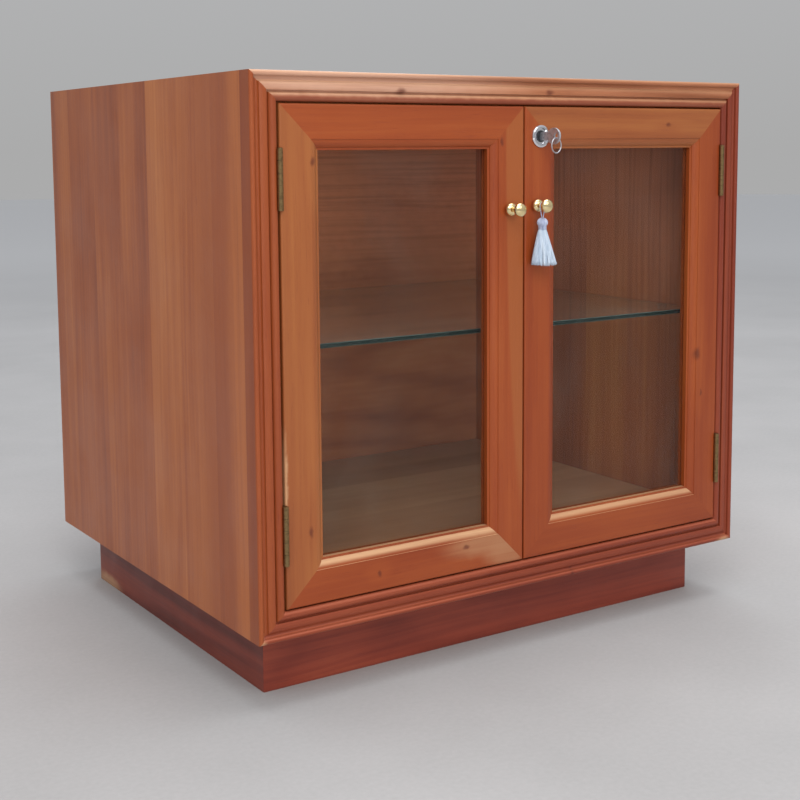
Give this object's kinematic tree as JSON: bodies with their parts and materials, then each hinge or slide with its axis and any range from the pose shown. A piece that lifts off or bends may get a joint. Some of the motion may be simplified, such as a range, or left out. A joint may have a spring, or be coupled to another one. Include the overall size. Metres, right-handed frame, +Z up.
{
  "type": "tabletop display case",
  "caption": "Low wooden display case on a recessed plinth: glazed inset double doors on butt hinges, glass shelf, cam lock with key, round knobs and a tassel.",
  "frame": {"origin": "on the floor, at the middle of the case's overall width and depth, with the knobs and key counted", "axes": "+X to the right along the front, +Y from the glazed front to the back, +Z up"},
  "size_m": [0.622, 0.5546, 0.596],
  "materials": {
    "carcass_wood": "satin varnish",
    "moulding_wood": "satin varnish",
    "door_wood": "satin varnish",
    "plinth_wood": "satin varnish",
    "hidden_wood": "satin varnish",
    "brass": "polished",
    "aged_brass": "tarnished",
    "lock_chrome": "polished",
    "key_nickel": "satin",
    "steel": "satin",
    "door_glass": "clear",
    "shelf_glass": "clear, green edge",
    "tassel_thread": "soft"
  },
  "bodies": {
    "case": {"left_side_panel": "carcass_wood", "right_side_panel": "carcass_wood", "top_panel": "carcass_wood", "bottom_panel": "carcass_wood", "back_panel": "carcass_wood", "moulding_top": "moulding_wood", "moulding_bottom": "moulding_wood", "moulding_left": "moulding_wood", "moulding_right": "moulding_wood", "plinth_front": "plinth_wood", "plinth_back": "plinth_wood", "plinth_left": "plinth_wood", "plinth_right": "plinth_wood", "plinth_corner_blocks": "hidden_wood", "shelf_pins": "steel", "left_lower_hinge_case_leaf": "aged_brass", "left_upper_hinge_case_leaf": "aged_brass", "left_hinge_pins": "aged_brass", "right_lower_hinge_case_leaf": "aged_brass", "right_upper_hinge_case_leaf": "aged_brass", "right_hinge_pins": "aged_brass", "case_hinge_screws": "aged_brass"},
    "left_door": {"left_door_hinge_stile": "door_wood", "left_door_meeting_stile": "door_wood", "left_door_top_rail": "door_wood", "left_door_bottom_rail": "door_wood", "left_door_glass": "door_glass", "left_door_glazing_beads": "door_wood", "left_door_hinge_screws": "aged_brass", "left_lower_hinge_door_leaf": "aged_brass", "left_upper_hinge_door_leaf": "aged_brass", "left_knob": "brass", "left_knob_screw": "steel", "bolt_guide": "aged_brass", "bolt_screws": "aged_brass"},
    "right_door": {"right_door_hinge_stile": "door_wood", "right_door_meeting_stile": "door_wood", "right_door_top_rail": "door_wood", "right_door_bottom_rail": "door_wood", "right_door_glass": "door_glass", "right_door_glazing_beads": "door_wood", "right_door_hinge_screws": "aged_brass", "right_lower_hinge_door_leaf": "aged_brass", "right_upper_hinge_door_leaf": "aged_brass", "right_knob": "brass", "right_knob_screw": "steel", "lock_housing": "lock_chrome", "lock_nut": "steel"},
    "lock_core": {"lock_plug": "lock_chrome", "lock_cam": "steel", "cam_screw": "steel"},
    "key": {"key": "key_nickel"},
    "key_ring": {"key_ring": "key_nickel"},
    "bolt": {"bolt": "aged_brass"},
    "shelf": {"glass_shelf": "shelf_glass"},
    "tassel": {"tassel_loop": "tassel_thread", "tassel_head": "tassel_thread", "tassel_skirt": "tassel_thread"}
  },
  "joints": [
    {"name": "left_door_hinge", "type": "hinge", "parent": "case", "child": "left_door", "pos_m": [-0.28225, -0.2477, 0.33], "axis": [0, 0, -1], "range_deg": [0, 170]},
    {"name": "right_door_hinge", "type": "hinge", "parent": "case", "child": "right_door", "pos_m": [0.28225, -0.2477, 0.33], "axis": [0, 0, 1], "range_deg": [0, 170]},
    {"name": "lock_turn", "type": "hinge", "parent": "right_door", "child": "lock_core", "pos_m": [0.0205, -0.2467, 0.5365], "axis": [0, -1, 0], "range_deg": [0, 90]},
    {"name": "key_pull", "type": "slide", "parent": "lock_core", "child": "key", "axis": [0, -1, 0], "range_m": [0, 0.024]},
    {"name": "key_ring_swing", "type": "hinge", "parent": "key", "child": "key_ring", "pos_m": [0.0205, -0.2715, 0.5345], "axis": [0.9781, 0.2079, 0], "range_deg": [-60, 60]},
    {"name": "bolt_slide", "type": "slide", "parent": "left_door", "child": "bolt", "axis": [0, 0, 1], "range_m": [0, 0.018]},
    {"name": "shelf_lift", "type": "slide", "parent": "case", "child": "shelf", "axis": [0, 0, 1], "range_m": [0, 0.03]},
    {"name": "tassel_swing", "type": "hinge", "parent": "right_door", "child": "tassel", "pos_m": [0.0145, -0.2573, 0.466], "axis": [0, 1, 0], "range_deg": [-40, 40]}
  ]
}
